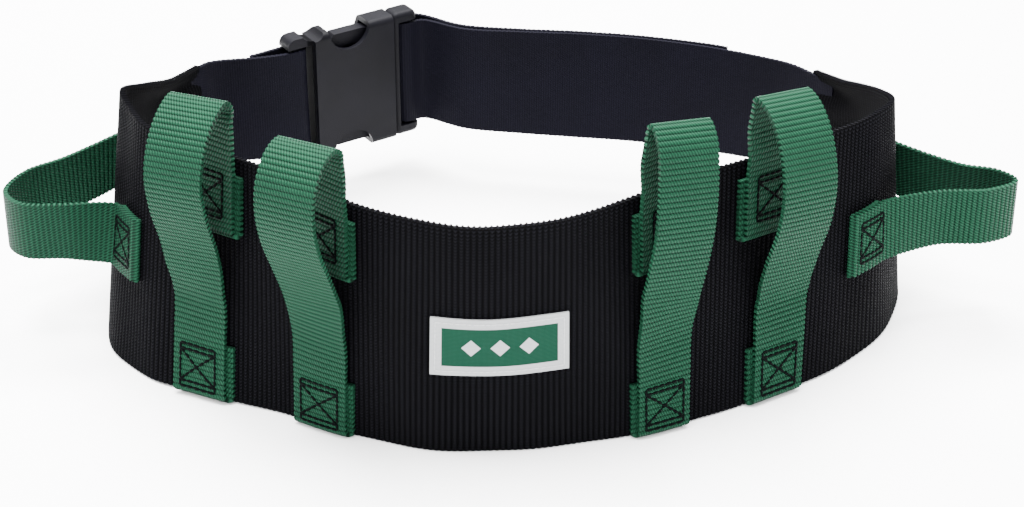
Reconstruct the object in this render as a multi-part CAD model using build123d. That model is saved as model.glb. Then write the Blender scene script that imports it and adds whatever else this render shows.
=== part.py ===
from build123d import *
import os
from math import cos, radians, sin

# Gait belt: a wide webbing panel round the front and sides, a narrower strap across the back
# with a side-release buckle, and six webbing handles sewn on. Millimetres, +Z up, +Y to the back.

# Driving dimensions
PANEL_THICK = 2.6
STRAP_WIDTH = 50.8
STRAP_THICK = 1.8
STRAP_HEIGHT = 50.8  # centre line of the back strap above the panel's lower edge
HANDLE_WIDTH = 25.4
HANDLE_THICK = 1.9
THREAD = 0.8
THREAD_PROUD = 0.4
SEWN_GAP = 0.1  # air left between layers that are sewn together
LABEL_SIZE = (52.5, 25.4)
LABEL_THICK = 0.9

BUCKLE_CENTRE = (-75.0, 102.0)
BUCKLE_TURN = 33.0  # degrees, from +X towards +Y
BUCKLE_HEIGHT = 63.0
BUCKLE_THICK = 13.0
SOCKET_WALL = 2.4
BAR_RADIUS = 3.2
RELEASE_TRAVEL = 34.0
PRONG_SWING = 7.0

# Middle of the whole belt's box in the working plan: it becomes the origin
CENTRE = (0.0, -3.6)
FOOT_CUT = 0.45  # the leaning panel is trimmed level here, so it stands on a flat foot
LIFT = -FOOT_CUT

# Foot and head of the panel's weave ribs, from the left end round the front to the right end
RIBS = [
    ((-141, 67, 25.4), (-141, 67, 76.2)),
    ((-158, 44, 14), (-148, 42, 82)),
    ((-168, 12, 3), (-156, 20, 90)),
    ((-172, -22, 0), (-164, 4, 95.5)),
    ((-167, -51, 0), (-158, -13, 94)),
    ((-150, -72, 0), (-144, -35, 94.5)),
    ((-126, -84, 0), (-122, -52, 96)),
    ((-94, -98, 0), (-91, -79, 99.8)),
    ((-61, -114, 0), (-59, -108, 101.4)),
    ((-29, -124, 0), (-27, -124, 101.6)),
    ((3, -124, 0), (3, -124, 101.6)),
    ((35, -117, 0), (33, -112, 101.5)),
    ((67, -106, 0), (66, -83, 99)),
    ((101, -88, 0), (103, -54, 95.6)),
    ((132, -66, 0), (136, -31, 95)),
    ((155, -40, 0), (152, -20, 97.5)),
    ((167, -10, 1), (158, -4, 96.5)),
    ((163, 18, 5), (150, 24, 88)),
    ((150, 43, 15), (141.5, 45, 80.5)),
    ((135, 62, 25.4), (135, 62, 76.2)),
]
LAST = len(RIBS) - 1


def rib(station):
    """Foot and head of the rib at a station, on smooth curves through the listed ones."""
    whole = min(max(int(station), 0), LAST - 1)
    f = min(max(station - whole, 0), 1)
    shares = (f * (f * (2 - f) - 1) / 2, (f * f * (3 * f - 5) + 2) / 2, f * (f * (4 - 3 * f) + 1) / 2, f * f * (f - 1) / 2)
    ends = []
    for end in (0, 1):
        near = [Vector(RIBS[min(max(whole + k, 0), LAST)][end]) for k in (-1, 0, 1, 2)]
        ends.append(near[0] * shares[0] + near[1] * shares[1] + near[2] * shares[2] + near[3] * shares[3])
    return ends


def on_panel(station, height, proud):
    """Point on the panel: height up the rib from its foot, proud out of the middle surface."""
    foot, head = rib(station)
    up = (head - foot).normalized()
    before, after = rib(station - 0.2), rib(station + 0.2)
    along = (after[0] - before[0] + after[1] - before[1]).normalized()
    out = along.cross(up).normalized()
    return foot + up * height + out * proud


def station_at(station, offset, height=50.0):
    """Station that lies offset millimetres along the panel from another one."""
    span = (on_panel(station + 0.2, height, 0) - on_panel(station - 0.2, height, 0)).length
    return station + 0.4 * offset / span


def patch(first, last, low, high, inner, outer):
    """Layer of cloth that follows the panel between two stations and two heights."""
    steps = 8
    grid = [k / steps for k in range(int(first * steps) + 1, int(last * steps + 0.999))]
    stations = [first] + [s for s in grid if first + 0.03 < s < last - 0.03] + [last]
    sections = []
    for s in stations:
        foot, head = rib(s)
        top = (head - foot).length if high is None else high
        corners = [on_panel(s, h, r) for h, r in ((low, inner), (top, inner), (top, outer), (low, outer))]
        sections.append(Wire.make_polygon(corners))
    return Solid.make_loft(sections, ruled=True)


def thread(start, end, proud):
    """Straight run of sewing thread on the panel between two (station, height) points."""
    sections = []
    proud += SEWN_GAP
    a = on_panel(start[0], start[1], proud)
    b = on_panel(end[0], end[1], proud)
    runs = max(3, int((b - a).length / 6))
    for k in range(runs + 1):
        share = k / runs
        s = start[0] + (end[0] - start[0]) * share
        h = start[1] + (end[1] - start[1]) * share
        middle = on_panel(s, h, proud)
        out = (on_panel(s, h, proud + 1) - middle).normalized()
        side = out.cross(b - a).normalized() * (THREAD / 2)
        lift = out * THREAD_PROUD
        sections.append(Wire.make_polygon([middle - side, middle + side, middle + side + lift, middle - side + lift]))
    return Solid.make_loft(sections, ruled=True)


def sewn_box(left, right, low, high, proud, crossed=True):
    """Rows of stitches round a box, and crossed inside it; rows stop just short of each other."""
    inset, corner, middle = 0.06, 0.1, 0.05
    rows = [((0, 0), (1, 0)), ((0, 1), (1, 1)), ((0, inset), (0, 1 - inset)), ((1, inset), (1, 1 - inset))]
    if crossed:
        rows.append(((corner, corner), (1 - corner, 1 - corner)))
        rows.append(((corner, 1 - corner), (0.5 - middle, 0.5 + middle)))
        rows.append(((0.5 + middle, 0.5 - middle), (1 - corner, corner)))
    threads = []
    for row in rows:
        ends = [(left + (right - left) * across, low + (high - low) * up) for across, up in row]
        threads.append(thread(*ends, proud))
    return threads


def box_stitch(middle, height, half_length, half_height, proud):
    """Box with a cross in it, the way a webbing end is sewn down."""
    left, right = (station_at(middle, side * half_length, height) for side in (-1, 1))
    return sewn_box(left, right, height - half_height, height + half_height, proud)


def ribbon(route, thick, width, samples=16):
    """Webbing on edge: the route's smooth edges lie in XY and its width runs along Z, centred on 0."""
    sections = []
    for edge in route:
        for k in range(0 if edge is route[0] else 1, samples + 1):
            share = k / samples
            ahead, behind = edge.position_at(min(share + 0.002, 1)), edge.position_at(max(share - 0.002, 0))
            along = (ahead - behind).normalized()
            across = Vector(-along.Y, along.X, 0) * (thick / 2)
            lift = Vector(0, 0, width / 2)
            place = edge.position_at(share)
            corners = [place + across - lift, place + across + lift, place - across + lift, place - across - lift]
            sections.append(Wire.make_polygon(corners))
    return Solid.make_loft(sections, ruled=True)


def save(name, *solids):
    """Write one node, moved so that the middle of the belt's foot is the origin."""
    moved = [Location((-CENTRE[0], -CENTRE[1], LIFT)) * solid for solid in solids]
    export_step(moved[0] if len(moved) == 1 else Compound(moved), f"parts/{name}.step")


os.makedirs("parts", exist_ok=True)
surface = PANEL_THICK / 2 + SEWN_GAP
layer = HANDLE_THICK + SEWN_GAP

# Panel, and the seams that join its gathered ends to the back strap
panel = patch(0, LAST, 0, None, -PANEL_THICK / 2, PANEL_THICK / 2)
panel -= Location((0, 0, FOOT_CUT - 10)) * Box(600, 600, 20)
save("panel_webbing", panel)
SEAM_INSET = 4.0
for side, end, inward in (("left", 0, 1), ("right", LAST, -1)):
    rows = []
    for row in (0, 1):
        place = station_at(end + 0.02 * inward, inward * (SEAM_INSET + 5 * row))
        rows.append(thread((place, 4), (place, 47), PANEL_THICK / 2))
    save(f"{side}_strap_seam", *rows)

# Front label, sewn round its border
FRONT = 9.75
LABEL_LOW = 37.0
label_ends = [station_at(FRONT, side * LABEL_SIZE[0] / 2) for side in (-1, 1)]
label_high = LABEL_LOW + LABEL_SIZE[1]
save("label_patch", patch(*label_ends, LABEL_LOW, label_high, surface, surface + LABEL_THICK))
margin = 1.4
label_face = surface + LABEL_THICK
label_left, label_right = station_at(label_ends[0], margin), station_at(label_ends[1], -margin)
border = sewn_box(label_left, label_right, LABEL_LOW + margin, label_high - margin, label_face, crossed=False)
save("label_stitching", *border)

# Upright handles: each is sewn down at the top and the bottom of the panel, with its ends
# folded under, and stands out between them as a loop. A handle is its station, how far its top
# is sewn off that station, the plan direction it faces, and its profile as (out, up the rib).
LOWER_TAB = (1.4, 42.0)
UPPER_TAB = (71.0, 101.2)
FOLD = 24.0
HEM = 0.5  # how far a folded layer stops short of the one over it
BOX_HEIGHTS = (12.5, 86.0)
ROOT = surface + layer + HANDLE_THICK / 2  # middle of the webbing where it lies on its fold
LOOP_TOP, LOOP_FOOT = 103.6, 45.0
HANDLES = {
    1: (6.0, 3.3, (-0.41, -0.91), [(6.5, 115), (15, 124.5), (25, 117.5), (30.5, 106), (31, 93), (25.5, 80), (14, 63)]),
    2: (7.6, 1.0, (-0.45, -0.89), [(6, 118), (14, 127), (23, 125), (30, 116), (31, 104), (27, 90), (18, 74), (10, 59)]),
    3: (11.85, -2.0, (0.42, -0.91), [(5, 118), (12, 130.5), (18.5, 124), (20.5, 108), (19.5, 90), (15, 73), (9, 57)]),
    4: (13.14, -7.0, (0.51, -0.86), [(4.8, 117), (10, 126.5), (17.5, 123), (24, 113), (27, 100), (26.5, 89), (22, 75), (12, 58)]),
}
half = HANDLE_WIDTH / 2
face = surface + layer + HANDLE_THICK
for number, (station, skew, facing, bulge) in HANDLES.items():
    upper = station_at(station, skew, BOX_HEIGHTS[1])
    for name, middle, low, high, fold in (
        ("lower", station, LOWER_TAB[0], LOWER_TAB[1], (LOWER_TAB[0] + HEM, LOWER_TAB[0] + FOLD)),
        ("upper", upper, UPPER_TAB[0], UPPER_TAB[1], (UPPER_TAB[1] - FOLD, UPPER_TAB[1] - HEM)),
    ):
        left, right = (station_at(middle, side * half, low + 15) for side in (-1, 1))
        over = patch(left, right, low, high, surface + layer, face)
        under = patch(left, right, *fold, surface, surface + HANDLE_THICK)
        save(f"handle_{number}_{name}_end", over, under)
    save(
        f"handle_{number}_box_stitching",
        *box_stitch(station, BOX_HEIGHTS[0], 8.5, 9.0, face),
        *box_stitch(upper, BOX_HEIGHTS[1], 8.5, 9.0, face),
    )
    foot, head = on_panel(station, LOOP_FOOT, 0), on_panel(upper, LOOP_TOP, 0)
    up = (head - foot).normalized()
    out = Vector(*facing, 0)
    out = (out - up * out.dot(up)).normalized()
    stand = Plane(origin=foot - up * LOOP_FOOT, x_dir=out, z_dir=out.cross(up))
    top = LOOP_FOOT + (head - foot).length
    profile = Spline((ROOT + 0.6, top), *bulge, (ROOT + 2.4, LOOP_FOOT), tangents=((0.06, 1), (-0.2, -1)))
    save(f"handle_{number}_loop", stand.location * ribbon([profile], HANDLE_THICK, HANDLE_WIDTH, 36))

# Side handles: level loops. Routes are plan points of the webbing's centre line; the loop's
# roots are rounded about a level axis, so it can tilt up and down without touching its ends.
SIDE_HEIGHT = 51.0
SIDES = {
    "left": (4.36, 1.45, -186.0, [(-170, -34.5), (-186, -38.5), (-203, -37.5), (-211.5, -27), (-206, -9), (-190, 5), (-168, 18)]),
    "right": (14.54, 17.0, 181.0, [(163, -21), (179, -26.5), (200, -25), (212, -17), (206, -8), (190, -2), (163, 7)]),
}
for side, (front_tab, rear_tab, pivot, route) in SIDES.items():
    outward = -1 if side == "left" else 1
    for place, station, length in (("front", front_tab, 20.0), ("rear", rear_tab, 20.0)):
        first, last = station_at(station, -length / 2), station_at(station, length / 2)
        low = SIDE_HEIGHT - half
        cover = patch(first, last, low, low + HANDLE_WIDTH, surface + layer, surface + layer + HANDLE_THICK)
        under = patch(
            station_at(first, 1), station_at(last, -1), low, low + HANDLE_WIDTH, surface, surface + HANDLE_THICK
        )
        save(f"side_handle_{side}_{place}_end", cover, under)
    save(
        f"side_handle_{side}_box_stitching",
        *box_stitch(front_tab, SIDE_HEIGHT, 6.5, 8.5, face),
        *box_stitch(rear_tab, SIDE_HEIGHT, 6.5, 8.5, face),
    )
    whole = Location((0, 0, SIDE_HEIGHT)) * ribbon([Spline(*route)], HANDLE_THICK, HANDLE_WIDTH, 36)
    keep = Location((pivot, -10, SIDE_HEIGHT), (90, 0, 0)) * Cylinder(half - 0.1, 120)
    beyond = Location((pivot + outward * 30, -10, SIDE_HEIGHT)) * Box(60, 120, 60)
    save(f"side_handle_{side}_loop", (whole & (keep + beyond)).solids()[0])

# Side-release buckle, drawn with its pull along X, its width along Z and its inner face at -Y
buckle_place = Location((*BUCKLE_CENTRE, STRAP_HEIGHT), (0, 0, BUCKLE_TURN))
tall = BUCKLE_HEIGHT / 2
SOCKET = (-34.0, 20.2)
PLUG = (20.6, 33.5)
BODY_START = -21.0
SOCKET_BAR, PLUG_BAR = -28.4, 29.2
SLOT_TALL = 53.5
cavity_tall = tall - SOCKET_WALL
cavity_deep = BUCKLE_THICK - 2 * SOCKET_WALL


def block(x0, x1, y_size, z_size):
    """Box between two X planes, centred on Y and Z."""
    return Location(((x0 + x1) / 2, 0, 0)) * Box(x1 - x0, y_size, z_size)


def rounded(solid, axis, radius):
    """Round the edges that run along an axis."""
    return fillet(solid.edges().filter_by(axis), radius)


def strap_bar(x):
    """Round bar that a strap wraps."""
    return Location((x, 0, 0)) * Cylinder(BAR_RADIUS, SLOT_TALL + 2)


socket_body = rounded(block(BODY_START, SOCKET[1], BUCKLE_THICK, BUCKLE_HEIGHT), Axis.X, 3.0)
socket_frame = rounded(block(SOCKET[0], BODY_START + 4, 9.0, BUCKLE_HEIGHT), Axis.Y, 4.0)
socket = socket_body + socket_frame
socket -= block(SOCKET_BAR, BODY_START - 0.8, 20, SLOT_TALL)
socket -= Location((-34, 0, 0)) * Box(12, 20, SLOT_TALL)
socket += strap_bar(SOCKET_BAR)
socket -= block(BODY_START + 2.5, SOCKET[1] + 1, cavity_deep, cavity_tall * 2)
WINDOW = (-13.5, 7.5)
NOTCH = -21.0  # dip in the socket's edge between its bar end and its window
for level in (-tall, tall):
    window = Location(((WINDOW[0] + WINDOW[1]) / 2, 0, level), (90, 0, 0)) * Cylinder((WINDOW[1] - WINDOW[0]) / 2, 30)
    socket -= window
    socket -= Location((NOTCH, 0, level + (3.2 if level > 0 else -3.2)), (90, 0, 0)) * Cylinder(6.0, 30)
save("buckle_socket", buckle_place * socket)

plug = rounded(block(PLUG[0], PLUG[1], 10.5, BUCKLE_HEIGHT), Axis.Y, 3.0)
plug = rounded(plug, Axis.X, 2.5)
plug -= block(23.4, 28.9, 20, SLOT_TALL)
plug -= Location((33, 0, 0)) * Box(9, 20, SLOT_TALL)
plug += strap_bar(PLUG_BAR)
plug += rounded(block(-9.0, PLUG[0] + 1, cavity_deep - 2.2, 9.0), Axis.X, 1.0)
save("buckle_plug", buckle_place * plug)

# Spring prongs: each leaves the plug near its corner and shows its button in the side window
PRONG_ROOT = 20.1
prong_outline = Polyline(
    (PRONG_ROOT, 21.5), (PRONG_ROOT, 26.8), (9.0, 27.4), (5.5, 28.3), (-9.5, 28.3), (-12.0, 25.0), (-12.6, 20.0),
    (-10.0, 18.0), (-5.0, 21.6), (8.0, 22.2), (PRONG_ROOT, 21.5),
)
prong_flat = make_face(prong_outline)
for name, turn in (("prong_upper", 0), ("prong_lower", 180)):
    prong = extrude(Plane.XZ * prong_flat, (cavity_deep - 2.4) / 2, both=True)
    save(name, buckle_place * (Rotation(turn, 0, 0) * prong))

# Back strap. The short length is looped round the socket's bar and sewn back on itself.
wrap = BAR_RADIUS + STRAP_THICK / 2 + 0.25


def in_plan(x, y):
    """Plan point given in the buckle's own axes."""
    turn = radians(BUCKLE_TURN)
    return (
        BUCKLE_CENTRE[0] + x * cos(turn) - y * sin(turn),
        BUCKLE_CENTRE[1] + x * sin(turn) + y * cos(turn),
    )


pull = (cos(radians(BUCKLE_TURN)), sin(radians(BUCKLE_TURN)))
back = (-pull[0], -pull[1])
raise_strap = Location((0, 0, STRAP_HEIGHT))
bar = SOCKET_BAR
short_route = [
    Spline((-139.4, 68.2), in_plan(bar - 20, 0.2), in_plan(bar, -wrap), tangents=((1, 0.4), pull)),
    CenterArc(in_plan(bar, 0), wrap, BUCKLE_TURN - 90, 180),
    Spline(in_plan(bar, wrap), in_plan(bar - 10, 3.8), in_plan(bar - 21, 3.4), tangents=(back, back)),
]
save("short_strap", raise_strap * ribbon(short_route, STRAP_THICK, STRAP_WIDTH))

# The long length runs round the plug's bar, and its tail lies back along the outside.
JOIN_X = -22.0
bar = PLUG_BAR
lead = (-1, 0.15)
wrap_route = [
    Spline((JOIN_X - 0.6, 107.2), in_plan(bar + 7, -5.0), in_plan(bar, -wrap), tangents=(lead, back)),
    CenterArc(in_plan(bar, 0), wrap, BUCKLE_TURN - 90, -180),
    Spline(in_plan(bar, wrap), in_plan(bar + 8, 1.6), (JOIN_X - 2.0, 111.0), tangents=(pull, (1, -0.15))),
]
save("strap_wrap", raise_strap * ribbon(wrap_route, STRAP_THICK, STRAP_WIDTH))
long_points = [(JOIN_X, 107.1), (3, 103), (31, 99.5), (58, 95), (86, 87), (112, 76.5), (125, 69.5), (134.2, 63.6)]
save("long_strap", raise_strap * ribbon([Spline(*long_points)], STRAP_THICK, STRAP_WIDTH))
tail_points = [(JOIN_X - 1.2, 110.8), (3.5, 105.6), (31.5, 102.1), (59, 97.5), (87, 89.6), (98, 85.6)]
save("strap_tail", raise_strap * ribbon([Spline(*tail_points)], STRAP_THICK, STRAP_WIDTH))
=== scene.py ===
from math import cos, pi, radians, sin

import bpy
import numpy as np
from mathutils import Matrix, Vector


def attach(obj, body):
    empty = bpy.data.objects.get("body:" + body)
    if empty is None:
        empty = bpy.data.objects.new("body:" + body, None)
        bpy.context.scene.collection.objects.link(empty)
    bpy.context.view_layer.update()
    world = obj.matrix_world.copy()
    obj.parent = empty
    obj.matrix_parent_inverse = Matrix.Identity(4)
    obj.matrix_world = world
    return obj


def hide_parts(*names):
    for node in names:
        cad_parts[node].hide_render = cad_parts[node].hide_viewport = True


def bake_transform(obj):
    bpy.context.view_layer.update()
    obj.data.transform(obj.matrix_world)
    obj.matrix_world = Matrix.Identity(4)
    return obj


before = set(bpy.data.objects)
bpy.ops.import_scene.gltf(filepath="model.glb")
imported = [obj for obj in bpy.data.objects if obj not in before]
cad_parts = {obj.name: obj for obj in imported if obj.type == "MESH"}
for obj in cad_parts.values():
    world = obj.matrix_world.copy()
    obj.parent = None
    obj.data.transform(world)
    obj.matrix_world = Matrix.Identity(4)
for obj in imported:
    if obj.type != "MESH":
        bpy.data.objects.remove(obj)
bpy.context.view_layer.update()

# ---------------------------------------------------------------------------------------------
# The panel is the wide black webbing round the front and the sides, woven in upright ribs whose
# threads meet in chevrons. Its two ends are gathered to half height, where the back strap starts.
# ---------------------------------------------------------------------------------------------
MM = 0.001
PANEL_THICK = 2.6
PANEL_WIDE = 101.6
SHIFT = np.array((0.0, 3.6, -0.45))  # from the plan that the ribs are listed in to the frame
RIBS = np.array([  # foot and head of the upright lines that the panel passes through
    ((-141, 67, 25.4), (-141, 67, 76.2)),
    ((-158, 44, 14), (-148, 42, 82)),
    ((-168, 12, 3), (-156, 20, 90)),
    ((-172, -22, 0), (-164, 4, 95.5)),
    ((-167, -51, 0), (-158, -13, 94)),
    ((-150, -72, 0), (-144, -35, 94.5)),
    ((-126, -84, 0), (-122, -52, 96)),
    ((-94, -98, 0), (-91, -79, 99.8)),
    ((-61, -114, 0), (-59, -108, 101.4)),
    ((-29, -124, 0), (-27, -124, 101.6)),
    ((3, -124, 0), (3, -124, 101.6)),
    ((35, -117, 0), (33, -112, 101.5)),
    ((67, -106, 0), (66, -83, 99)),
    ((101, -88, 0), (103, -54, 95.6)),
    ((132, -66, 0), (136, -31, 95)),
    ((155, -40, 0), (152, -20, 97.5)),
    ((167, -10, 1), (158, -4, 96.5)),
    ((163, 18, 5), (150, 24, 88)),
    ((150, 43, 15), (141.5, 45, 80.5)),
    ((135, 62, 25.4), (135, 62, 76.2)),
]) + SHIFT
LAST = len(RIBS) - 1
REACH = 0.2  # stations to each side of a place, over which its direction is measured
LEFT_CREASED, RIGHT_CREASED = 2.6, 2.4  # stations over which each gathered end is creased
CREASE_DEPTH = 3.2
BROAD_WAVE, NARROW_WAVE = 0.45, 0.3
SAMPLES = 800
MEASURED_HIGH, RIB_HIGH = 50, 101  # the panel's length is measured this high on a rib this long
NOMINAL_RIB = 2.3
RIB_RELIEF = 0.22
HEM = 0.03  # share of the height that the loops of weft take at each edge
STEPS_TO_A_RIB, PANEL_ROWS = 4, 30
SMOOTH_BELOW = radians(55)
BUMP_STRENGTH = 0.9


def unit(vectors):
    """Vectors of length one."""
    return vectors / np.linalg.norm(vectors, axis=-1, keepdims=True)


def rib(station):
    """Foot and head of the panel's rib at each station, in millimetres, on a smooth curve."""
    station = np.asarray(station, float)
    whole = np.clip(np.floor(station).astype(int), 0, LAST - 1)
    f = np.clip(station - whole, 0, 1)[..., None, None]
    before, first, second, after = (RIBS[np.clip(whole + k, 0, LAST)] for k in (-1, 0, 1, 2))
    ends = (
        before * (f * (f * (2 - f) - 1) / 2)
        + first * ((f * f * (3 * f - 5) + 2) / 2)
        + second * (f * (f * (4 - 3 * f) + 1) / 2)
        + after * (f * f * (f - 1) / 2)
    )
    return ends[..., 0, :], ends[..., 1, :]


def ripple(station, share):
    """How far the soft panel waves out of its smooth shape, and creases towards its gathered ends."""
    broad = BROAD_WAVE * np.sin(station * 2.3 + 0.6) * np.sin(share * 3.4 + 0.9)
    narrow = NARROW_WAVE * np.sin(station * 5.1 + share * 4)
    creases = 0
    for near in (station / LEFT_CREASED, (LAST - station) / RIGHT_CREASED):
        grip = np.clip(near, 0, 1) ** 0.7 * np.clip(1 - near, 0, 1) * CREASE_DEPTH
        folds = 1.5 * np.sin(share * 15.0 + near * 2.0) + 0.7 * np.sin(share * 31.0 - near * 3.0)
        creases = creases + grip * folds
    return broad + narrow + creases


def on_panel(station, height, proud):
    """Points on the panel: height up the rib from its foot, proud out of the middle surface."""
    station, height, proud = np.broadcast_arrays(*(np.asarray(v, float) for v in (station, height, proud)))
    foot, head = rib(station)
    length = np.linalg.norm(head - foot, axis=-1, keepdims=True)
    up = (head - foot) / length
    before, after = rib(station - REACH), rib(station + REACH)
    out = unit(np.cross(unit(after[0] - before[0] + after[1] - before[1]), up))
    share = np.clip(height[..., None] / length, 0, 1)
    return foot + up * height[..., None] + out * (proud[..., None] + ripple(station[..., None], share))


def station_at(station, offset, height=50.0):
    """Station that lies offset millimetres along the panel from another one."""
    before, after = (on_panel(station + reach, height, 0) for reach in (-REACH, REACH))
    return station + 2 * REACH * offset / np.linalg.norm(after - before, axis=-1)


def cloth(name, long, wide, steps, rows, place, thick):
    """Sheet of woven cloth: a grid whose points place() puts, given a thickness.

    place takes the distances along and across in millimetres; the UV map holds them in metres."""
    bpy.ops.object.select_all(action="DESELECT")
    bpy.ops.mesh.primitive_grid_add(x_subdivisions=steps, y_subdivisions=rows, size=1)
    made = bpy.context.object
    made.name = name
    mesh = made.data
    flat = np.empty(len(mesh.vertices) * 3)
    mesh.vertices.foreach_get("co", flat)
    along = (flat[0::3] + 0.5) * long
    across = flat[1::3] * wide
    corner = np.empty(len(mesh.loops), int)
    mesh.loops.foreach_get("vertex_index", corner)
    uv = np.stack([along[corner], across[corner] + wide / 2], axis=1) * MM
    mesh.uv_layers[0].data.foreach_set("uv", uv.ravel())
    mesh.vertices.foreach_set("co", (place(along, across) * MM).ravel())
    mesh.update()
    wall = made.modifiers.new("thickness", "SOLIDIFY")
    wall.thickness = thick * MM
    wall.offset = 0
    wall.use_even_offset = False
    bpy.ops.object.modifier_apply(modifier=wall.name)
    bpy.ops.object.shade_smooth_by_angle(angle=SMOOTH_BELOW)
    return made


class Finish:
    """A value inside a material: arithmetic on it adds Math nodes, and add() makes any other node."""

    def __init__(self, tree, socket=None):
        self.tree, self.socket = tree, socket

    def add(self, kind, settings=None, values=None, out=0):
        """New node of a kind: its settings are set first, then the values or links of its sockets."""
        made = self.tree.nodes.new(kind)
        for key, value in (settings or {}).items():
            setattr(made, key, value)
        for key, value in (values or {}).items():
            if isinstance(value, Finish):
                self.tree.links.new(value.socket, made.inputs[key])
            else:
                made.inputs[key].default_value = value
        return Finish(self.tree, made.outputs[out])

    def split(self):
        """The first two coordinates of this vector, each as a value."""
        parts = self.add("ShaderNodeSeparateXYZ", None, {"Vector": self}).socket.node.outputs
        return Finish(self.tree, parts["X"]), Finish(self.tree, parts["Y"])

    def maths(self, operation, *terms):
        return self.add("ShaderNodeMath", {"operation": operation}, dict(enumerate(terms)))

    def __add__(self, other):
        return self.maths("ADD", self, other)

    def __sub__(self, other):
        return self.maths("SUBTRACT", self, other)

    def __rsub__(self, other):
        return self.maths("SUBTRACT", other, self)

    def __mul__(self, other):
        return self.maths("MULTIPLY", self, other)

    def __pow__(self, other):
        return self.maths("POWER", self, other)

    __radd__, __rmul__ = __add__, __mul__

    def blend(self, low, high):
        """Colour from low to high as this value goes from 0 to 1."""
        return self.add("ShaderNodeMix", {"data_type": "RGBA"}, {0: self, 6: low, 7: high}, out=2)

    def step(self, low, high):
        """0 below low, 1 above high, and smooth between."""
        values = {"From Min": low, "From Max": high, "Value": self}
        return self.add("ShaderNodeMapRange", {"interpolation_type": "SMOOTHSTEP"}, values)

    def wave(self, pitch, phase=0.0):
        """Rounded ridges, 0 in the valleys and 1 on top, a pitch apart."""
        return 0.5 + 0.5 * self.maths("SINE", self * (2 * pi / pitch) + phase)

    def noise(self, scale, detail):
        """Mottling over the places in this vector: broad at a small scale, fine at a large one."""
        return self.add("ShaderNodeTexNoise", None, {"Vector": self, "Scale": scale, "Detail": detail})


def finish(name, specular=0.5, laid_flat=True):
    """New material, its shader, and a point's place in metres: on the flat cloth, or else in the frame."""
    made = bpy.data.materials.new(name)
    made.use_nodes = True
    shader = made.node_tree.nodes["Principled BSDF"]
    shader.inputs["Specular IOR Level"].default_value = specular
    start = Finish(made.node_tree)
    if laid_flat:
        return made, shader, start.add("ShaderNodeUVMap", {"uv_map": "UVMap"})
    return made, shader, start.add("ShaderNodeTexCoord", out="Object")


def dress(shader, colour, roughness, height, depth):
    """Link what varies over the surface to the shader."""
    links = colour.tree.links
    links.new(colour.socket, shader.inputs["Base Color"])
    links.new(roughness.socket, shader.inputs["Roughness"])
    values = {"Height": height, "Distance": depth, "Strength": BUMP_STRENGTH}
    links.new(height.add("ShaderNodeBump", None, values).socket, shader.inputs["Normal"])


def clothe(piece, material, body="belt"):
    """Give a piece its finish, and the body that it rides on if one is named."""
    piece.data.materials.clear()
    piece.data.materials.append(material)
    if body:
        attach(piece, body)


# Every station's distance along the panel, so that the ribs are evenly spaced
stations = np.linspace(0, LAST, SAMPLES)
foot, head = rib(stations)
middle = on_panel(stations, MEASURED_HIGH * np.linalg.norm(head - foot, axis=-1) / RIB_HIGH, 0)
travel = np.concatenate([[0], np.cumsum(np.linalg.norm(np.diff(middle, axis=0), axis=-1))])
PANEL_LONG = travel[-1]
panel_ribs = int(PANEL_LONG / NOMINAL_RIB)
PANEL_RIB = PANEL_LONG / panel_ribs


def panel_place(along, across):
    """The panel's points, with its ribs raised and loops of weft along both edges."""
    station = np.interp(along, travel, stations)
    foot, head = rib(station)
    length = np.linalg.norm(head - foot, axis=-1)
    share = across / PANEL_WIDE + 0.5
    ridge = np.sin(along / PANEL_RIB * pi) ** 2
    top_loops = np.clip((share - 1 + HEM) / HEM, 0, 1) * 0.9 * ridge
    foot_loops = np.clip((HEM - share) / HEM, 0, 1) * (1.1 - 0.3 * ridge)
    return on_panel(station, share * length + (top_loops + foot_loops), RIB_RELIEF * (ridge - 0.5))


panel_steps = panel_ribs * STEPS_TO_A_RIB + 1
panel = cloth("panel_cloth", PANEL_LONG, PANEL_WIDE, panel_steps, PANEL_ROWS, panel_place, PANEL_THICK)

black_web, shader, spot = finish("black ribbed webbing", 0.012)
CHEVRON_STEEP, CHEVRON_STRAND = 1.15, 0.00135
along, across = spot.split()
ridge = along.wave(PANEL_RIB * MM, -pi / 2)
slope = along.maths("PINGPONG", along, PANEL_RIB * MM / 2)
strand = (across + slope * CHEVRON_STEEP).wave(CHEVRON_STRAND)
fuzz = spot.noise(2600, 3)
patches = spot.noise(28, 4)
relief = (0.3 + 0.7 * ridge) * (0.35 + 0.65 * strand) + 0.18 * fuzz
bright = (relief ** 2.2) * (0.55 + 0.9 * patches)
colour = bright.blend((0.00001, 0.00001, 0.00002, 1), (0.0040, 0.0040, 0.0052, 1))
dress(shader, colour, 0.66 - 0.2 * strand * ridge + 0.1 * patches, relief, 0.0005)
clothe(panel, black_web)
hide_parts("panel_webbing")

# ---------------------------------------------------------------------------------------------
# Four upright handles are inch-wide green webbing. Each end is folded under and sewn to the panel
# with a box of black stitches and a cross, and the length between stands out as a loop.
# ---------------------------------------------------------------------------------------------
HANDLE_WIDE = 25.4
HANDLE_THICK = 1.9
UNDER, ROOT = 2.35, 4.35  # middle of the folded layer, and of the layer over it, out from the panel
SEWN_FACE = ROOT + HANDLE_THICK / 2
FOLDED_ASIDE = 2.4  # how far the folded layer shows beside the layer over it
HANDLE_RIB = 2.15
HANDLE_RELIEF, RIM_RELIEF = 0.16, 0.4  # height of the ribs on the face, and of the loops at the edges
EDGE_WITHIN = 0.01
RIB_STEPS, ACROSS_ROWS = 6, 10
LINE_GAP = 0.3
LOOP_FOOT, LOOP_TOP = 45, 103.6
LOWER_FOLD, UPPER_FOLD = 2.5, 71.8
SKEW_OVER = 26  # height over which the handle goes from its lower end's station to its upper one's
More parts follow.
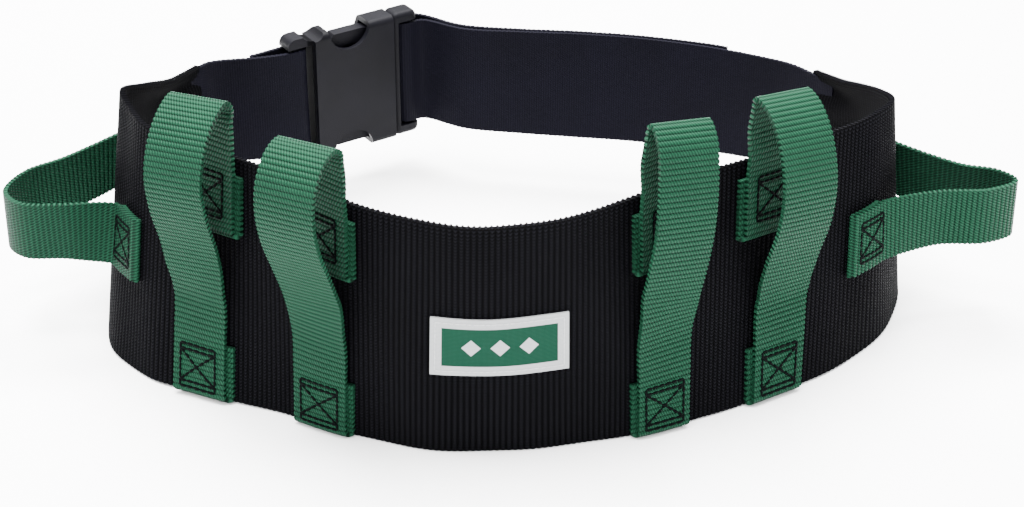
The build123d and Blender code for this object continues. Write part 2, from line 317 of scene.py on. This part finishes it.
FREE_FROM, FREE_OVER = 4.7, 6.5  # how far out the webbing leaves the panel's shape, and over how much
BLEND_AWAY = (6, 14)  # two distances out from the panel, along the way that the loop faces
BOX_HEIGHTS = (12.5, 86.0)
BOX_HALF = (8.5, 9.0)
CROSS_INSET = 2.3
HANDLES = {  # station, skew of the upper end, way the loop faces, and the loop's points (out, height)
    1: (6.0, 3.3, (-0.41, -0.91),
        [(6.5, 115), (15, 124.5), (25, 117.5), (30.5, 106), (31, 93), (25.5, 80), (14, 63)]),
    2: (7.6, 1.0, (-0.45, -0.89),
        [(6, 118), (14, 127), (23, 125), (30, 116), (31, 104), (27, 90), (18, 74), (10, 59)]),
    3: (11.72, 2.3, (0.42, -0.91),
        [(5, 118), (12, 130.5), (18.5, 124), (20.5, 108), (19.5, 90), (15, 73), (9, 57)]),
    4: (13.14, -7.0, (0.51, -0.86),
        [(4.8, 117), (10, 126.5), (17.5, 123), (24, 113), (27, 100), (26.5, 89), (22, 75), (12, 58)]),
}


def part_way(start, end, low, high, t):
    """The place at t on the straight line that leaves start at low and reaches end at high."""
    return (start * (high - t) + end * (t - low)) / (high - low)


def smooth(points, gap):
    """Points an even gap apart on a smooth line through the given ones, and the line's length."""
    points = np.array(points, float)
    ends = np.vstack([2 * points[0] - points[1], points, 2 * points[-1] - points[-2]])
    found = []
    for k in range(len(points) - 1):
        a, b, c, d = ends[k:k + 4]
        steps = np.sqrt(np.maximum([np.linalg.norm(v) for v in (b - a, c - b, d - c)], 1e-6))
        t0, t1, t2, t3 = 0, steps[0], steps[0] + steps[1], steps.sum()
        t = np.linspace(t1, t2, 24, endpoint=False)[:, None]
        middle = part_way(b, c, t1, t2, t)
        left = part_way(part_way(a, b, t0, t1, t), middle, t0, t2, t)
        right = part_way(middle, part_way(c, d, t2, t3, t), t1, t3, t)
        found.append(part_way(left, right, t1, t2, t))
    line = np.vstack(found + [points[-1:]])
    run = np.concatenate([[0], np.cumsum(np.linalg.norm(np.diff(line, axis=0), axis=-1))])
    even = np.linspace(0, run[-1], max(2, int(round(run[-1] / gap)) + 1))
    return np.stack([np.interp(even, run, line[:, k]) for k in range(line.shape[1])], axis=1), run[-1]


def read(line, run, along, columns):
    """Each of a line's columns at distances along it."""
    return [np.interp(along, run, line[:, k]) for k in range(columns)]


def heading(line, run, along, columns, reach=0.4):
    """How much each of a line's columns changes over a short reach about distances along it."""
    ends = (read(line, run, along + way * reach, columns) for way in (-1, 1))
    return [after - before for before, after in zip(*ends)]


def turn_under(height):
    """The webbing's turn at the end of a sewn layer, from the folded layer to the one over it."""
    centre, radius = (UNDER + ROOT) / 2, (ROOT - UNDER) / 2
    return [(centre + radius * cos(a), height + radius * sin(a)) for a in np.linspace(pi, 2 * pi, 7)]


def ribbed(along, across):
    """How far the green webbing's ribs stand proud, and its edges drawn in between them."""
    ridge = np.sin(along / HANDLE_RIB * pi) ** 2 - 0.5
    edge = np.abs(across) > HANDLE_WIDE / 2 - EDGE_WITHIN
    return HANDLE_RELIEF * ridge, across + np.where(edge, np.sign(across) * RIM_RELIEF * ridge, 0)


def stitches(name, rows, proud, thickness=1.25, pitch=3.1, depth=0.7):
    """Rows of lock stitches on the panel between (station, height) points: one stitch, copied and laid."""
    bpy.ops.object.select_all(action="DESELECT")
    bpy.ops.mesh.primitive_uv_sphere_add(segments=8, ring_count=6, radius=0.5)
    made = bpy.context.object
    made.name = name
    size = len(made.data.vertices)
    places, ways, outs, spans = [], [], [], []
    for (s0, h0), (s1, h1) in rows:
        start, end = on_panel(s0, h0, proud), on_panel(s1, h1, proud)
        count = max(2, int(round(np.linalg.norm(end - start) / pitch)))
        edges = np.linspace(0, 1, count + 1)
        share = (edges[:-1] + edges[1:]) / 2
        spot = on_panel(s0 + (s1 - s0) * share, h0 + (h1 - h0) * share, proud)
        over = on_panel(s0 + (s1 - s0) * share, h0 + (h1 - h0) * share, proud + 1)
        steps = np.diff(on_panel(s0 + (s1 - s0) * edges, h0 + (h1 - h0) * edges, proud), axis=0)
        places.append(spot)
        ways.append(unit(steps))
        outs.append(unit(over - spot))
        spans.append(np.linalg.norm(steps, axis=-1))
    places, ways, outs, spans = (np.concatenate(v) for v in (places, ways, outs, spans))
    copies = made.modifiers.new("copies", "ARRAY")
    copies.count = len(places)
    copies.relative_offset_displace = (2, 0, 0)
    bpy.ops.object.modifier_apply(modifier=copies.name)
    mesh = made.data
    flat = np.empty(len(mesh.vertices) * 3)
    mesh.vertices.foreach_get("co", flat)
    points = flat.reshape(-1, size, 3).copy()
    points[:, :, 0] -= 2 * np.arange(len(places))[:, None]
    lap, lift, dip = 1.06, 0.22, 0.9  # length over the pitch, rise of the middle, and fall to the ends
    length = points[:, :, 2] * (spans[:, None] * lap)
    bend = depth * (points[:, :, 0] + lift - dip * points[:, :, 2] ** 2)
    laid = (
        places[:, None, :]
        + ways[:, None, :] * length[:, :, None]
        + np.cross(outs, ways)[:, None, :] * (points[:, :, 1] * thickness)[:, :, None]
        + outs[:, None, :] * bend[:, :, None]
    )
    mesh.vertices.foreach_set("co", (laid * MM).ravel())
    mesh.update()
    bpy.ops.object.mode_set(mode="EDIT")
    bpy.ops.mesh.select_all(action="SELECT")
    bpy.ops.mesh.normals_make_consistent(inside=False)
    bpy.ops.object.mode_set(mode="OBJECT")
    bpy.ops.object.shade_smooth()
    return made


def box_rows(left, right, low, high):
    """The four rows of a box of stitches."""
    corners = [(left, low), (right, low), (right, high), (left, high)]
    return list(zip(corners, corners[1:] + corners[:1]))


def sewn_box(middle, height, half_long, half_high):
    """A box about a place on the panel, with a second row inside its top and its foot, and a cross."""
    left, right = (float(station_at(middle, side * half_long, height)) for side in (-1, 1))
    rows = box_rows(left, right, height - half_high, height + half_high)
    low, high = height - half_high + CROSS_INSET, height + half_high - CROSS_INSET
    for start, end in ((low, low), (high, high), (low, high), (high, low)):
        rows.append(((left, start), (right, end)))
    return rows


def thread(name, specular, low, high):
    """Twisted sewing thread, mottled from one colour to another."""
    made, shader, spot = finish(name, specular, laid_flat=False)
    fuzz = spot.noise(900, 3)
    dress(shader, fuzz.blend(low, high), 0.45 + 0.25 * fuzz, spot.noise(2600, 1), 0.0002)
    return made


def upright_handle(number, station, skew, facing, bulge):
    """One upright handle's webbing and stitches."""
    upper = float(station_at(station, skew, BOX_HEIGHTS[1]))
    foot, head = on_panel(station, LOOP_FOOT, 0), on_panel(upper, LOOP_TOP, 0)
    up = unit(head - foot)
    out = np.array((*facing, 0.0))
    out = unit(out - up * out.dot(up))
    side = np.cross(up, out)
    base = foot - up * LOOP_FOOT
    top = LOOP_FOOT + np.linalg.norm(head - foot)
    route = [(UNDER, 24), (UNDER, 14), (UNDER, 6)] + turn_under(LOWER_FOLD)
    route += [(ROOT, 8), (ROOT, 18), (ROOT, 28), (ROOT, 37), (ROOT + 0.5, 42)] + bulge[::-1]
    route += [(ROOT + 0.7, top + 1), (ROOT, top - 6), (ROOT, 88), (ROOT, 80)]
    route += turn_under(UPPER_FOLD)[::-1] + [(UNDER, 80), (UNDER, 95)]
    line, length = smooth(route, LINE_GAP)
    run = np.linspace(0, length, len(line))

    def handle_place(along, across):
        """The handle's points: on the panel where it is sewn, and on its own loop away from it."""
        away, height = read(line, run, along, 2)
        relief, across = ribbed(along, across)
        across = across - np.sign(facing[0]) * FOLDED_ASIDE * np.clip((ROOT - away) / (ROOT - UNDER), 0, 1)
        middle = station + (upper - station) * np.clip((height - LOOP_FOOT) / SKEW_OVER, 0, 1)
        near = on_panel(station_at(middle, across), height, away + relief)
        ahead, rise = heading(line, run, along, 2)
        scale = np.maximum(np.hypot(ahead, rise), 1e-6)
        away = away + relief * rise / scale
        height = height - relief * ahead / scale
        far = base + out * away[:, None] + up * height[:, None] + side * across[:, None]
        mix = np.clip((away - FREE_FROM) / FREE_OVER, 0, 1)[:, None]
        mix = mix * mix * (3 - 2 * mix)
        return near * (1 - mix) + far * mix

    steps = int(length / HANDLE_RIB) * RIB_STEPS
    body = f"handle_{number}"
    handle = cloth(body + "_webbing", length, HANDLE_WIDE, steps, ACROSS_ROWS, handle_place, HANDLE_THICK)
    clothe(handle, green_web, None)
    start, end = (tuple((base + out * away) * MM) for away in BLEND_AWAY)
    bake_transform(handle)
    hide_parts(body + "_loop", body + "_upper_end", body + "_lower_end")
    rows = sewn_box(station, BOX_HEIGHTS[0], *BOX_HALF) + sewn_box(upper, BOX_HEIGHTS[1], *BOX_HALF)
    sewn = stitches(body + "_stitches", rows, SEWN_FACE)
    clothe(sewn, black_thread)
    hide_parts(body + "_box_stitching")


green_web, shader, spot = finish("green ribbed webbing", 0.06)
shader.inputs["Specular Tint"].default_value = (0.55, 1.0, 0.75, 1)
along, across = spot.split()
ridge = along.wave(HANDLE_RIB * MM, -pi / 2)
strand = (across + along * 0.55).wave(0.00125)
fuzz = spot.noise(2400, 3)
patches = spot.noise(45, 4)
hole = (1 - ridge).step(0.5, 0.92) * (1 - strand).step(0.3, 0.8)
relief = (0.45 + 0.55 * ridge) * (0.5 + 0.5 * strand) - 0.3 * hole + 0.14 * fuzz
tone = (1 - 0.55 * hole) * (0.42 + 0.58 * ridge) * (0.45 + 0.7 * strand) * (0.8 + 0.5 * patches)
colour = tone.blend((0.00006, 0.0011, 0.0005, 1), (0.0056, 0.0330, 0.0172, 1))
dress(shader, colour, 0.62 - 0.14 * strand * ridge + 0.1 * patches, relief, 0.0006)

black_thread = thread("black sewing thread", 0.02, (0.0001, 0.0004, 0.0004, 1), (0.0009, 0.0018, 0.0017, 1))

for number, handle_facts in HANDLES.items():
    upright_handle(number, *handle_facts)

# ---------------------------------------------------------------------------------------------
# The two side handles are level loops of the same green webbing, one at each hip. Both ends of
# each lie along the panel, folded under and sewn with the same crossed boxes.
# ---------------------------------------------------------------------------------------------
SIDE_HEIGHT = 51.0
SIDE_BOX_HALF = (6.5, 8.5)
TAB_HALF = 10
TAB_LAYERS = (  # (along the panel towards the tab's end, out from it), from the folded layer to the loop
    (-7, UNDER), (0, UNDER), (5, UNDER), (TAB_HALF - 1.2, UNDER), (TAB_HALF - 0.4, UNDER + 0.3),
    (TAB_HALF, (UNDER + ROOT) / 2),
    (TAB_HALF - 0.4, ROOT - 0.3), (TAB_HALF - 1.2, ROOT),
    (5, ROOT), (0, ROOT), (-5, ROOT), (-8, ROOT + 0.6),
)
SIDES = {  # stations of the front and rear tabs, where the loop leaves the panel, and its plan
    "left": (4.36, 1.45, (-172, -190),
             [(-186, -38.5), (-203, -37.5), (-211.5, -27), (-206, -9), (-190, 5)]),
    "right": (14.54, 17.0, (166, 186),
              [(179, -26.5), (200, -25), (212, -17), (206, -8), (190, -2)]),
}


def tab_spots(station, way):
    """The middle line of a sewn tab, each point with the way that the webbing stands there."""
    spots = []
    for offset, proud in TAB_LAYERS:
        place = station_at(station, way * offset, SIDE_HEIGHT)
        low = on_panel(place, SIDE_HEIGHT - HANDLE_WIDE / 2, proud)
        high = on_panel(place, SIDE_HEIGHT + HANDLE_WIDE / 2, proud)
        spots.append(np.concatenate([(low + high) / 2, unit(high - low)]))
    return spots


def side_handle(side, front_tab, rear_tab, reach, plan):
    """One side handle's webbing and stitches."""
    forward = 1 if side == "left" else -1
    loop = [np.array((x, y + SHIFT[1], SIDE_HEIGHT + SHIFT[2], 0, 0, 1)) for x, y in plan]
    spots = tab_spots(front_tab, forward) + loop + tab_spots(rear_tab, -forward)[::-1]
    line, _ = smooth(spots, LINE_GAP)
    run = np.concatenate([[0], np.cumsum(np.linalg.norm(np.diff(line[:, :3], axis=0), axis=-1))])
    length = run[-1]

    def side_place(along, across):
        """The side handle's points, from its middle line and the way that it stands."""
        spot = np.stack(read(line, run, along, 6), axis=1)
        ahead = np.stack(heading(line, run, along, 3), axis=1)
        relief, across = ribbed(along, across)
        out = unit(np.cross(ahead, spot[:, 3:]))
        return spot[:, :3] + unit(spot[:, 3:]) * across[:, None] + out * relief[:, None]

    steps = int(length / HANDLE_RIB) * RIB_STEPS
    body = f"side_handle_{side}"
    handle = cloth(body + "_webbing", length, HANDLE_WIDE, steps, ACROSS_ROWS, side_place, HANDLE_THICK)
    clothe(handle, green_web, None)
    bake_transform(handle)
    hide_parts(body + "_loop", body + "_front_end", body + "_rear_end")
    rows = []
    for tab in (front_tab, rear_tab):
        rows += sewn_box(tab, SIDE_HEIGHT, *SIDE_BOX_HALF)
    sewn = stitches(body + "_stitches", rows, SEWN_FACE)
    clothe(sewn, black_thread)
    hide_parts(body + "_box_stitching")


for side, side_facts in SIDES.items():
    side_handle(side, *side_facts)

# ---------------------------------------------------------------------------------------------
# The front label is a woven patch with a white border round a green field, laid on the panel and
# sewn round its border with white thread. Its field carries three plain lozenges.
# ---------------------------------------------------------------------------------------------
LABEL_LONG, LABEL_HIGH, LABEL_THICK = 52.5, 25.4, 0.9
FRONT, LABEL_LOW = 9.75, 37.0  # station of the label's middle, and height of its foot
PANEL_FACE = 1.4
JUST_OVER = 0.05
LABEL_OUT = PANEL_FACE + LABEL_THICK / 2 + JUST_OVER
LABEL_FACE = PANEL_FACE + LABEL_THICK + JUST_OVER
LABEL_STEPS, LABEL_ROWS = 60, 24
HEM_IN = 1.9
BORDER = 0.0042
LOZENGE_PITCH, LOZENGE_HALF = 0.011, 0.0037
LOZENGES = (0.0098, 0.0427)  # the stretch of the label that the three lozenges take
SHARP = 0.0001


def label_place(along, across):
    """The label's points, just over the panel."""
    spot = station_at(FRONT, along - LABEL_LONG / 2)
    return on_panel(spot, LABEL_LOW + LABEL_HIGH / 2 + across, LABEL_OUT)


def within(distance, low, high):
    """1 from low to high and 0 outside, with sharp edges."""
    return distance.step(low - SHARP, low + SHARP) * (1 - distance.step(high - SHARP, high + SHARP))


label = cloth("label_cloth", LABEL_LONG, LABEL_HIGH, LABEL_STEPS, LABEL_ROWS, label_place, LABEL_THICK)
label_web, shader, spot = finish("white and green woven label", 0.04)
along, across = spot.split()
label_long, label_high = LABEL_LONG * MM, LABEL_HIGH * MM
field = within(along, BORDER, label_long - BORDER) * within(across, BORDER, label_high - BORDER)
repeated = along.maths("PINGPONG", along - label_long / 2 + 10 * LOZENGE_PITCH, LOZENGE_PITCH / 2)
reach = repeated + across.maths("ABSOLUTE", across - label_high / 2)
marks = (1 - reach.step(LOZENGE_HALF - SHARP, LOZENGE_HALF + SHARP)) * within(along, *LOZENGES)
weave = along.wave(0.00045) * across.wave(0.0006)
white = weave.blend((0.24, 0.248, 0.252, 1), (0.36, 0.368, 0.372, 1))
green = weave.blend((0.0012, 0.020, 0.0105, 1), (0.0058, 0.042, 0.025, 1))
cover = field * (1 - marks)
dress(shader, cover.blend(white, green), 0.5 + 0.2 * spot.noise(180, 4), weave + 0.4 * cover, 0.00012)
clothe(label, label_web)
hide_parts("label_patch")

white_thread = thread("white sewing thread", 0.2, (0.26, 0.265, 0.27, 1), (0.42, 0.425, 0.43, 1))
left, right = (float(station_at(FRONT, side * (LABEL_LONG / 2 - HEM_IN))) for side in (-1, 1))
rows = box_rows(left, right, LABEL_LOW + HEM_IN, LABEL_LOW + LABEL_HIGH - HEM_IN)
border = stitches("label_stitches", rows, LABEL_FACE, thickness=0.6, pitch=2.4, depth=0.4)
clothe(border, white_thread)
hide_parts("label_stitching")

# ---------------------------------------------------------------------------------------------
# The back strap is smooth black two-inch webbing. Its short length holds the buckle's socket, and
# the long one runs round the plug's bar and back along the outside of itself.
# ---------------------------------------------------------------------------------------------
STRAP_WIDE, STRAP_THICK = 50.8, 1.8
STRAP_HEIGHT = 50.8
STRAP_GAP, STRAP_ROWS = 0.55, 16
BUCKLE = np.array((-75.0, 102.0))
PULL = np.array((cos(radians(33)), sin(radians(33))))
SOCKET_BAR, PLUG_BAR = -28.4, 29.2
WRAP = 4.35  # radius of the strap's middle line round a bar
LEAN, LEAN_HALF_WIDE = 2.2, 25  # how far the long length leans out at this distance from its middle line
BUCKLE_HELD, BUCKLE_FADE = 45, 60  # the lean starts this far from the buckle, and is whole this much further
PANEL_HELD, PANEL_FADE = 132, 40  # and ends at this X, from this much before it
DIP = 0.35
NICK, NICK_PITCH = 0.12, 2.2  # loops of weft along the strap's edges


def by_buckle(x, y):
    """Plan point given along the buckle's pull and outwards from it."""
    return tuple(BUCKLE + PULL * x + np.array((-PULL[1], PULL[0])) * y)


def round_bar(x, way):
    """Plan points of the strap's way round a bar, from its inner side to its outer one."""
    return [by_buckle(x + WRAP * sin(a) * way, -WRAP * cos(a)) for a in np.linspace(0, pi, 9)]


def on_end(station, proud):
    """Plan point on the middle of the panel's gathered end."""
    foot, head = rib(station)
    return tuple((on_panel(station, np.linalg.norm(head - foot) / 2, proud) - SHIFT)[:2])


short_route = [on_end(0.72, -2.6), on_end(0.45, -2.5), on_end(0.2, -2.4), (-136.5, 71.0)]
short_route += [by_buckle(-48.4, 0.2), by_buckle(-37, -3.3)]
short_route += round_bar(SOCKET_BAR, 1) + [by_buckle(-38.4, 3.8), by_buckle(-49.4, 3.4)]
long_route = [on_end(LAST - 0.75, -2.6), on_end(LAST - 0.45, -2.5), on_end(LAST - 0.2, -2.4)]
long_route += [(125, 69.5), (112, 76.5), (86, 87), (58, 95), (31, 99.5), (3, 103), (-22, 107.1)]
long_route += [by_buckle(36.2, -5.0)] + round_bar(PLUG_BAR, -1) + [by_buckle(37.2, 1.6)]
long_route += [(-23.5, 111), (3.5, 105.6), (31.5, 102.1), (59, 97.5), (87, 89.6), (98, 85.6)]

strap_web, shader, spot = finish("smooth black webbing", 0.02)
along, across = spot.split()
ridge = along.wave(0.0011)
strand = (across + along * 0.5).wave(0.0009)
fuzz = spot.noise(2600, 3)
patches = spot.noise(30, 4)
relief = (0.5 + 0.5 * ridge) * (0.6 + 0.4 * strand) + 0.15 * fuzz
colour = (relief * (0.5 + 0.8 * patches)).blend((0.0003, 0.0003, 0.0006, 1), (0.0030, 0.0028, 0.0056, 1))
dress(shader, colour, 0.6 - 0.12 * ridge + 0.12 * patches, relief, 0.00022)


def strap(name, route):
    """Two-inch webbing that stands on edge along a plan route, and its length."""
    line, length = smooth(route, STRAP_GAP)
    run = np.linspace(0, length, len(line))

    def strap_place(along, across):
        """The strap's points: straight by the buckle and the panel, and leaning out between them."""
        x, y = read(line, run, along, 2)
        from_buckle = np.clip((np.hypot(x - BUCKLE[0], y - BUCKLE[1]) - BUCKLE_HELD) / BUCKLE_FADE, 0, 1)
        from_panel = np.clip((PANEL_HELD - x) / PANEL_FADE, 0, 1)
        lean = LEAN * (from_buckle * from_panel) * across / LEAN_HALF_WIDE * (x > BUCKLE[0])
        dip = DIP * np.sin(along / 31) * np.sin(across / 14 + 0.7)
        ahead = np.stack(heading(line, run, along, 2, reach=0.8))
        ahead = ahead / np.linalg.norm(ahead, axis=0)
        edge = np.abs(across) > STRAP_WIDE / 2 - EDGE_WITHIN
        nick = np.where(edge, NICK * np.sin(along * 2 * pi / NICK_PITCH) * np.sign(across), 0)
        height = STRAP_HEIGHT + SHIFT[2] + across + nick
        return np.stack([x - ahead[1] * dip, y + ahead[0] * dip + lean + SHIFT[1], height], axis=1)

    return cloth(name, length, STRAP_WIDE, len(line), STRAP_ROWS, strap_place, STRAP_THICK), length


short, length = strap("short_webbing", short_route)
clothe(short, strap_web)
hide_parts("short_strap")
long, length = strap("long_webbing", long_route)
clothe(long, strap_web, None)
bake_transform(long)
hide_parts("long_strap", "strap_wrap", "strap_tail")

# ---------------------------------------------------------------------------------------------
# Two upright rows of black stitches join each gathered end of the panel to the back strap, which
# lies on its inner side.
# ---------------------------------------------------------------------------------------------
SEAM_IN, SEAM_GAP = 4, 5  # the outer row's distance from the panel's end, and the next row's from it
SEAM_LOW, SEAM_HIGH = 4, 47
SEAM_FACE = PANEL_THICK / 2 + 0.1
END_WITHIN = 0.02
for side, end, inward in (("left", 0.0, 1), ("right", float(LAST), -1)):
    rows = []
    for row in (0, 1):
        spot = float(station_at(end + END_WITHIN * inward, inward * (SEAM_IN + SEAM_GAP * row)))
        rows.append(((spot, SEAM_LOW), (spot, SEAM_HIGH)))
    seam = stitches(f"{side}_seam_stitches", rows, SEAM_FACE)
    clothe(seam, black_thread)
    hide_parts(f"{side}_strap_seam")

# ---------------------------------------------------------------------------------------------
# The side-release buckle is moulded in dark grey acetal with a fine matt grain. Its socket holds
# the short strap, and the plug's two spring prongs show in the socket's side windows.
# ---------------------------------------------------------------------------------------------
SLOT_SHADE_STARTS, SLOT_SHADE_ENDS = (-0.0245, -0.0238), (-0.0216, -0.0208)  # painted shade across the socket's end wall inside its slot
plastic, shader, spot = finish("dark grey moulded plastic", 0.045, laid_flat=False)
cloudy = spot.noise(60, 4)
scuffs = spot.noise(420, 5).step(0.62, 0.8)
x, y = spot.split()
level = (x - BUCKLE[0] * MM) * PULL[0] + (y - (BUCKLE[1] + SHIFT[1]) * MM) * PULL[1]
# painted shade: the plastic's colour is darkened, and made rougher, over a narrow band across the socket's
# end wall in its slot
slot_shade = level.step(*SLOT_SHADE_STARTS) * (1 - level.step(*SLOT_SHADE_ENDS))
tone = (0.7 * cloudy + 0.3 * scuffs) * (1 - slot_shade)
colour = tone.blend((0.0005, 0.0005, 0.0008, 1), (0.0048, 0.0046, 0.0070, 1))
dress(shader, colour, 0.42 + 0.14 * cloudy + 0.12 * scuffs + 0.5 * slot_shade, spot.noise(3200, 2), 0.00012)
for name in ("buckle_socket", "buckle_plug", "prong_upper", "prong_lower"):
    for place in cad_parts[name].material_slots:
        place.material = plastic

# ---------------------------------------------------------------------------------------------
# The studio is a sheet of white paper for a floor, white surroundings, a large lamp overhead with
# two small ones in front, and the camera.
# ---------------------------------------------------------------------------------------------
FLOOR_WIDE = 12
WORLD_STRENGTH = 2.4
LENS, SENSOR = 85.75, 36
CAMERA_PLACE, CAMERA_AIM = (0, -0.9174, 0.5495), (0, -0.0514, 0.0495)
LAMPS = (  # name, place, aim, size in metres and power in watts
    ("overhead", (-0.1, 0.35, 1.5), (0, 0, 0), 1.3, 330),
    ("key", (-0.8, -1.0, 1.1), (0, 0, 0.05), 0.8, 12),
    ("fill", (0.9, -0.8, 0.8), (0, 0, 0.05), 0.8, 7),
)


def stand(made, place, aim):
    """Put a lamp or the camera at a place, turned towards its aim."""
    made.location = place
    made.rotation_euler = (Vector(aim) - Vector(place)).to_track_quat("-Z", "Y").to_euler()
    bpy.context.collection.objects.link(made)


bpy.ops.object.select_all(action="DESELECT")
bpy.ops.mesh.primitive_plane_add(size=FLOOR_WIDE)
floor = bpy.context.object
floor.name = "studio_floor"
paper, shader, spot = finish("white paper", laid_flat=False)
shader.inputs["Roughness"].default_value = 0.9
colour = spot.noise(3, 2).blend((0.93, 0.93, 0.935, 1), (0.96, 0.96, 0.965, 1))
colour.tree.links.new(colour.socket, shader.inputs["Base Color"])
floor.data.materials.append(paper)

world = bpy.data.worlds.new("studio")
bpy.context.scene.world = world
world.use_nodes = True
surroundings = world.node_tree.nodes["Background"]
surroundings.inputs["Color"].default_value = (1, 1, 1, 1)
surroundings.inputs["Strength"].default_value = WORLD_STRENGTH
for name, place, aim, size, power in LAMPS:
    light = bpy.data.lights.new(name, "AREA")
    light.size, light.energy = size, power
    stand(bpy.data.objects.new(name, light), place, aim)

camera = bpy.data.objects.new("camera", bpy.data.cameras.new("camera"))
stand(camera, CAMERA_PLACE, CAMERA_AIM)
camera.data.lens = LENS
camera.data.sensor_width = SENSOR
bpy.context.scene.camera = camera
